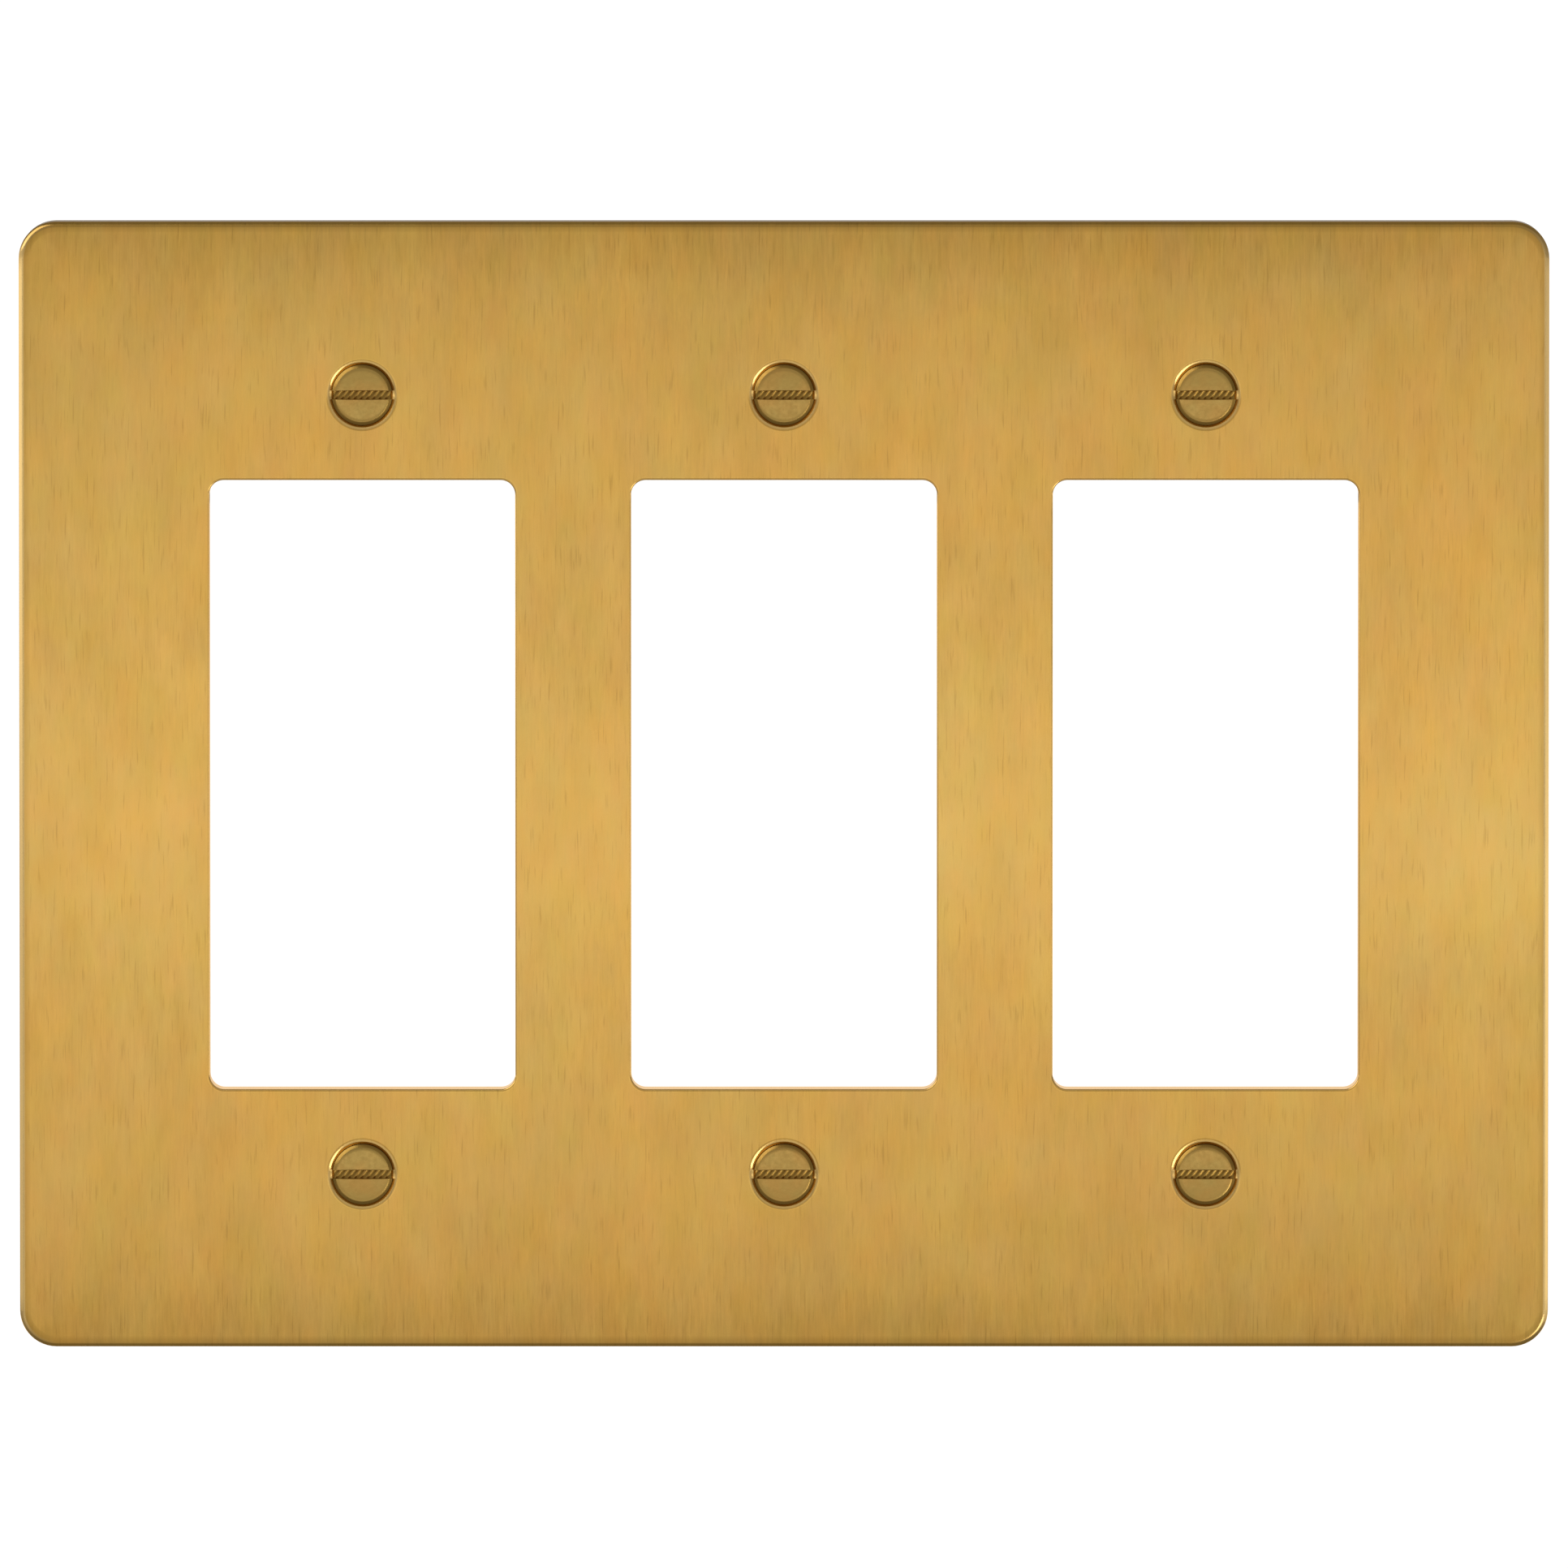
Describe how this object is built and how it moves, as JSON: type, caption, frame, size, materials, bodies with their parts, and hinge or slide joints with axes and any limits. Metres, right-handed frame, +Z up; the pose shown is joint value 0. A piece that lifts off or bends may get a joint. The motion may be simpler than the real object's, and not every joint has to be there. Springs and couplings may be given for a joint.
{
  "type": "switch wall plate",
  "caption": "Rectangular satin brass wall plate with tall rocker-switch windows in a row and a slotted screw above and below each window.",
  "frame": {"origin": "centre of the plate on the wall plane, which its back rim rests on", "axes": "+X along the plate's width, to the right as seen from the front; +Y into the wall, so the face looks along -Y; +Z up"},
  "size_m": [0.167, 0.0132, 0.123],
  "materials": {
    "plate_brass": "satin, brushed vertically",
    "screw_brass": "satin, slightly darker than the plate",
    "retainer_nylon": "moulded, matte, off-white"
  },
  "bodies": {
    "plate": {"faceplate": "plate_brass"},
    "retainer_top_left": {"retainer_top_left": "retainer_nylon"},
    "retainer_top_centre": {"retainer_top_centre": "retainer_nylon"},
    "retainer_top_right": {"retainer_top_right": "retainer_nylon"},
    "retainer_bottom_left": {"retainer_bottom_left": "retainer_nylon"},
    "retainer_bottom_centre": {"retainer_bottom_centre": "retainer_nylon"},
    "retainer_bottom_right": {"retainer_bottom_right": "retainer_nylon"},
    "screw_top_left": {"screw_top_left": "screw_brass"},
    "screw_top_centre": {"screw_top_centre": "screw_brass"},
    "screw_top_right": {"screw_top_right": "screw_brass"},
    "screw_bottom_left": {"screw_bottom_left": "screw_brass"},
    "screw_bottom_centre": {"screw_bottom_centre": "screw_brass"},
    "screw_bottom_right": {"screw_bottom_right": "screw_brass"}
  },
  "joints": [
    {"name": "travel_top_left", "type": "slide", "parent": "plate", "child": "retainer_top_left", "axis": [0, -1, 0], "range_m": [0, 0.00655]},
    {"name": "turn_top_left", "type": "hinge", "parent": "retainer_top_left", "child": "screw_top_left", "pos_m": [-0.04604, 0, 0.0426], "axis": [0, -1, 0], "range_deg": [0, 2970]},
    {"name": "travel_top_centre", "type": "slide", "parent": "plate", "child": "retainer_top_centre", "axis": [0, -1, 0], "range_m": [0, 0.00655]},
    {"name": "turn_top_centre", "type": "hinge", "parent": "retainer_top_centre", "child": "screw_top_centre", "pos_m": [0, 0, 0.0426], "axis": [0, -1, 0], "range_deg": [0, 2970]},
    {"name": "travel_top_right", "type": "slide", "parent": "plate", "child": "retainer_top_right", "axis": [0, -1, 0], "range_m": [0, 0.00655]},
    {"name": "turn_top_right", "type": "hinge", "parent": "retainer_top_right", "child": "screw_top_right", "pos_m": [0.04604, 0, 0.0426], "axis": [0, -1, 0], "range_deg": [0, 2970]},
    {"name": "travel_bottom_left", "type": "slide", "parent": "plate", "child": "retainer_bottom_left", "axis": [0, -1, 0], "range_m": [0, 0.00655]},
    {"name": "turn_bottom_left", "type": "hinge", "parent": "retainer_bottom_left", "child": "screw_bottom_left", "pos_m": [-0.04604, 0, -0.0426], "axis": [0, -1, 0], "range_deg": [0, 2970]},
    {"name": "travel_bottom_centre", "type": "slide", "parent": "plate", "child": "retainer_bottom_centre", "axis": [0, -1, 0], "range_m": [0, 0.00655]},
    {"name": "turn_bottom_centre", "type": "hinge", "parent": "retainer_bottom_centre", "child": "screw_bottom_centre", "pos_m": [0, 0, -0.0426], "axis": [0, -1, 0], "range_deg": [0, 2970]},
    {"name": "travel_bottom_right", "type": "slide", "parent": "plate", "child": "retainer_bottom_right", "axis": [0, -1, 0], "range_m": [0, 0.00655]},
    {"name": "turn_bottom_right", "type": "hinge", "parent": "retainer_bottom_right", "child": "screw_bottom_right", "pos_m": [0.04604, 0, -0.0426], "axis": [0, -1, 0], "range_deg": [0, 2970]}
  ],
  "couplings": [
    {"joint": "turn_top_left", "follows": "travel_top_left", "rad_per_m": 7915.8},
    {"joint": "turn_top_centre", "follows": "travel_top_centre", "rad_per_m": 7915.8},
    {"joint": "turn_top_right", "follows": "travel_top_right", "rad_per_m": 7915.8},
    {"joint": "turn_bottom_left", "follows": "travel_bottom_left", "rad_per_m": 7915.8},
    {"joint": "turn_bottom_centre", "follows": "travel_bottom_centre", "rad_per_m": 7915.8},
    {"joint": "turn_bottom_right", "follows": "travel_bottom_right", "rad_per_m": 7915.8}
  ]
}
